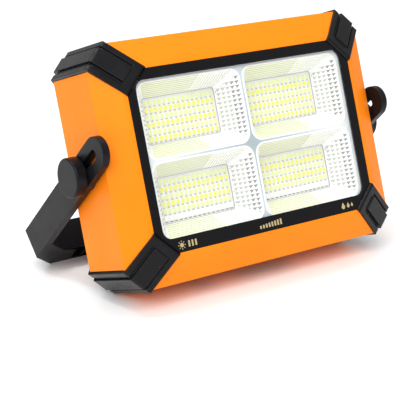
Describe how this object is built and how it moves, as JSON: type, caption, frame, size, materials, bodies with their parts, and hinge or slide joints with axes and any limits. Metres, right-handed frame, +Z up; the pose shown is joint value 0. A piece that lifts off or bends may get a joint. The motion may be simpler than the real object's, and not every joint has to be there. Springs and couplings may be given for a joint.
{
  "type": "solar flood light",
  "caption": "Rechargeable flood light in a chamfered box with corner guards, a solar panel on its back, a side torch and a folding, sliding handle that props it up.",
  "frame": {"origin": "middle of the footprint on the ground, light leaning back on its handle", "axes": "+X across the light to its torch side, -Y the way the lamp faces, +Z up"},
  "size_m": [0.2506, 0.1394, 0.1679],
  "materials": {
    "orange_shell": "satin moulded ABS",
    "black_bezel": "satin",
    "clear_pane": "polished",
    "gasket_rubber": "matt",
    "reflector_white": "metallised, bright",
    "board_white": "white solder mask",
    "cool_phosphor": "phosphor over white chip",
    "warm_phosphor": "phosphor over white chip",
    "clear_phosphor": "clear resin over white chip",
    "plate_aluminium": "brushed",
    "screw_steel": "zinc plated",
    "guard_screw_steel": "blackened",
    "inner_black": "moulded",
    "cell_blue": "shrink sleeve",
    "board_green": "solder mask",
    "socket_steel": "bright nickel",
    "button_black": "satin",
    "laminate_black": "gloss",
    "solar_cell_navy": "gloss",
    "busbar_silver": "printed",
    "torch_black": "satin",
    "torch_mirror": "bright",
    "guard_black": "satin moulded",
    "insert_brass": "turned",
    "handle_black": "satin moulded",
    "knob_black": "satin moulded"
  },
  "bodies": {
    "housing": {"main_housing": "orange_shell", "back_cover": "orange_shell", "front_bezel": "black_bezel", "front_lens": "clear_pane", "lens_gasket": "gasket_rubber", "reflector_tray": "reflector_white", "led_board_top_left": "board_white", "led_board_top_right": "board_white", "led_board_bottom_left": "board_white", "led_board_bottom_right": "board_white", "cool_leds": "cool_phosphor", "warm_leds": "warm_phosphor", "clear_leds": "clear_phosphor", "heat_sink_plate": "plate_aluminium", "heat_sink_screws": "screw_steel", "battery_holder": "inner_black", "battery_cells": "cell_blue", "battery_contacts": "screw_steel", "control_board": "board_green", "board_components": "inner_black", "board_screws": "screw_steel", "usb_a_socket": "socket_steel", "usb_c_socket": "socket_steel", "tact_switch": "inner_black", "solar_laminate": "laminate_black", "solar_cells": "solar_cell_navy", "solar_busbar": "busbar_silver", "panel_cover": "clear_pane", "panel_clips": "screw_steel", "torch_ring": "torch_black", "torch_lens": "clear_pane", "torch_reflector": "torch_mirror", "torch_board": "board_white", "torch_led": "cool_phosphor", "corner_guard_top_left": "guard_black", "corner_guard_top_right": "guard_black", "corner_guard_bottom_left": "guard_black", "corner_guard_bottom_right": "guard_black", "guard_screws": "guard_screw_steel", "pivot_pads": "gasket_rubber", "threaded_inserts": "insert_brass"},
    "pivot_carriage": {"clamp_washers": "screw_steel"},
    "handle": {"handle": "handle_black"},
    "left_clamp": {"knob_left": "knob_black", "clamp_bolt_left": "screw_steel"},
    "right_clamp": {"knob_right": "knob_black", "clamp_bolt_right": "screw_steel"},
    "power_button": {"power_button": "button_black"},
    "port_cover": {"port_cover": "gasket_rubber"}
  },
  "joints": [
    {"name": "handle_tilt", "type": "hinge", "parent": "housing", "child": "pivot_carriage", "pos_m": [0, -0.01745, 0.08368], "axis": [1, 0, 0], "continuous": true},
    {"name": "handle_slide", "type": "slide", "parent": "pivot_carriage", "child": "handle", "axis": [0, 0.7241, -0.6897], "range_m": [0, 0.026]},
    {"name": "left_knob_turn", "type": "hinge", "parent": "housing", "child": "left_clamp", "pos_m": [-0.121, -0.01745, 0.08368], "axis": [-1, 0, 0], "range_deg": [0, 360]},
    {"name": "right_knob_turn", "type": "hinge", "parent": "housing", "child": "right_clamp", "pos_m": [0.121, -0.01745, 0.08368], "axis": [1, 0, 0], "range_deg": [0, 360]},
    {"name": "power_press", "type": "slide", "parent": "housing", "child": "power_button", "axis": [0, 0.3091, 0.951], "range_m": [0, 0.0012], "stiffness_N_per_m": 800, "springref_m": -0.001},
    {"name": "port_cover_open", "type": "hinge", "parent": "housing", "child": "port_cover", "pos_m": [0.013, -0.04738, 0.01034], "axis": [-1, 0, 0], "range_deg": [0, 110]}
  ]
}
